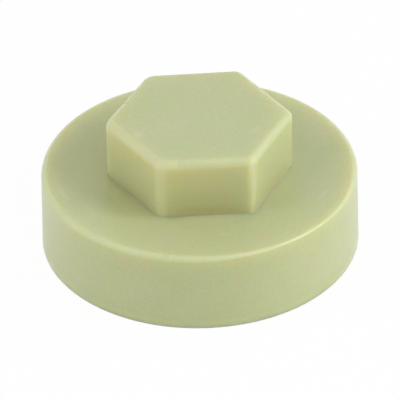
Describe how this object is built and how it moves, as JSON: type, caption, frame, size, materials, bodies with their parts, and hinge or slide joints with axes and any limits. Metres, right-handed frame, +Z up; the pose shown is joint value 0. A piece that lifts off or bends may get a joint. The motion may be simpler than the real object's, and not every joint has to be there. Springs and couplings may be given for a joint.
{
  "type": "screw cover cap",
  "caption": "Push-on plastic cap for a hex-head roofing screw: a round skirt over the sealing washer and a hexagonal boss over the screw's head.",
  "frame": {"origin": "centre of the rim's circle, on the plane of the rim that rests on the sheet", "axes": "+Z up the cap's axis towards the boss, +Y square to one pair of the boss's flats, +X through two of its corners"},
  "size_m": [0.019, 0.019, 0.0085],
  "materials": {
    "cap_plastic": "pale sage moulded polypropylene, satin and slightly translucent"
  },
  "bodies": {
    "root": {"cover_cap": "cap_plastic"}
  },
  "joints": []
}
